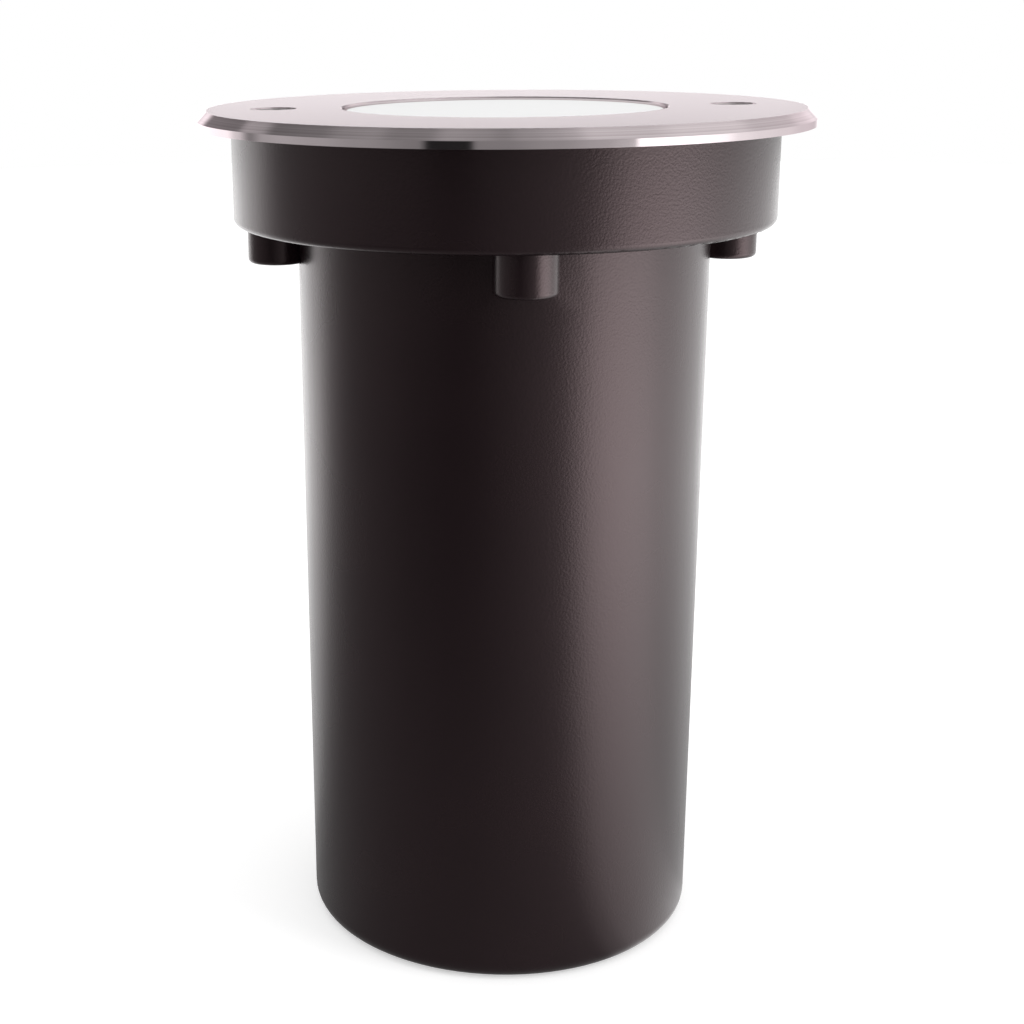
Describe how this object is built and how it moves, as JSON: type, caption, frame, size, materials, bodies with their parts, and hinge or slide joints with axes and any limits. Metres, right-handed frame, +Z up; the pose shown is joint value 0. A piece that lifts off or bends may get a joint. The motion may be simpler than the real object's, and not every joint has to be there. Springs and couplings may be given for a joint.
{
  "type": "in ground well light",
  "caption": "Round recessed ground light with a bevelled stainless trim ring, white glass, black cast body and a tilting reflector lamp inside.",
  "frame": {"origin": "centre of the standing rim's underside, on the light's axis", "axes": "+Z up along the light's axis towards the glass; +X through the right trim ring screw; +X is also the tilt axis"},
  "size_m": [0.11, 0.11, 0.155],
  "materials": {
    "black_powder_coat": "fine textured black powder coat on die cast aluminium",
    "satin_stainless": "satin turned stainless steel",
    "stainless_fastener": "bright stainless steel",
    "zinc_plated_steel": "zinc plated sheet steel",
    "frosted_glass": "toughened glass, frosted white",
    "silicone_seal": "soft silicone",
    "black_rubber": "matte rubber",
    "lamp_aluminium": "satin aluminium",
    "lamp_glass": "prismatic lamp glass",
    "nickel_plated_brass": "nickel plated",
    "spring_steel": "bright spring wire",
    "white_ceramic": "unglazed steatite",
    "terminal_plastic": "white moulded polyamide",
    "brass": "turned brass",
    "tinned_copper": "tinned",
    "lead_insulation": "silicone insulation, one lead brown and one blue",
    "earth_insulation": "green insulation with a yellow stripe",
    "black_nylon": "moulded black nylon"
  },
  "bodies": {
    "housing": {"housing": "black_powder_coat", "thread_inserts": "stainless_fastener", "lower_glass_gasket": "silicone_seal", "mounting_plate": "zinc_plated_steel", "mounting_plate_screws": "stainless_fastener", "wire_grommet": "black_rubber", "lamp_bracket": "zinc_plated_steel", "lamp_bracket_screws": "stainless_fastener", "lamp_bracket_nuts": "stainless_fastener", "terminal_block": "terminal_plastic", "terminal_clamps": "brass", "terminal_screws": "stainless_fastener", "terminal_block_screw": "stainless_fastener", "earth_tag": "tinned_copper", "earth_screw": "stainless_fastener", "gland_body": "black_nylon", "gland_washer": "black_rubber", "gland_lock_nut": "black_nylon", "gland_seal": "black_rubber", "lamp_leads": "lead_insulation", "earth_lead": "earth_insulation"},
    "lens_assembly": {"glass_lens": "frosted_glass", "upper_glass_gasket": "silicone_seal", "clamp_ring": "black_powder_coat", "clamp_ring_screws": "stainless_fastener"},
    "trim_ring": {"trim_ring": "satin_stainless"},
    "trim_screw_right": {"trim_screw_right": "stainless_fastener"},
    "trim_screw_left": {"trim_screw_left": "stainless_fastener"},
    "gimbal": {"gimbal_ring": "lamp_aluminium", "gimbal_washers": "stainless_fastener", "gimbal_pivot_screws": "stainless_fastener", "lamp_clip": "spring_steel", "lamp_holder": "white_ceramic", "holder_contacts": "nickel_plated_brass", "holder_bracket": "zinc_plated_steel", "holder_bracket_screws": "stainless_fastener", "holder_screws": "stainless_fastener"},
    "lamp": {"lamp_body": "lamp_aluminium", "lamp_lens": "lamp_glass", "lamp_pins": "nickel_plated_brass"},
    "gland_cap": {"gland_cap": "black_nylon"}
  },
  "joints": [
    {"name": "lens_lift", "type": "slide", "parent": "housing", "child": "lens_assembly", "axis": [0, 0, 1], "range_m": [0, 0.03]},
    {"name": "trim_lift", "type": "slide", "parent": "lens_assembly", "child": "trim_ring", "axis": [0, 0, 1], "range_m": [0, 0.03]},
    {"name": "trim_screw_right_turn", "type": "hinge", "parent": "trim_ring", "child": "trim_screw_right", "pos_m": [0.04125, 0, 0.15475], "axis": [0, 0, 1], "continuous": true},
    {"name": "trim_screw_left_turn", "type": "hinge", "parent": "trim_ring", "child": "trim_screw_left", "pos_m": [-0.04125, 0, 0.15475], "axis": [0, 0, 1], "continuous": true},
    {"name": "lamp_tilt", "type": "hinge", "parent": "housing", "child": "gimbal", "pos_m": [0, 0, 0.12595], "axis": [1, 0, 0], "range_deg": [-15, 15], "deforming": ["lamp_leads"]},
    {"name": "lamp_twist", "type": "hinge", "parent": "gimbal", "child": "lamp", "pos_m": [0, 0, 0.12595], "axis": [0, 0, 1], "range_deg": [0, 18]},
    {"name": "gland_cap_turn", "type": "hinge", "parent": "housing", "child": "gland_cap", "pos_m": [0, 0, 0.0095], "axis": [0, 0, 1], "continuous": true}
  ]
}
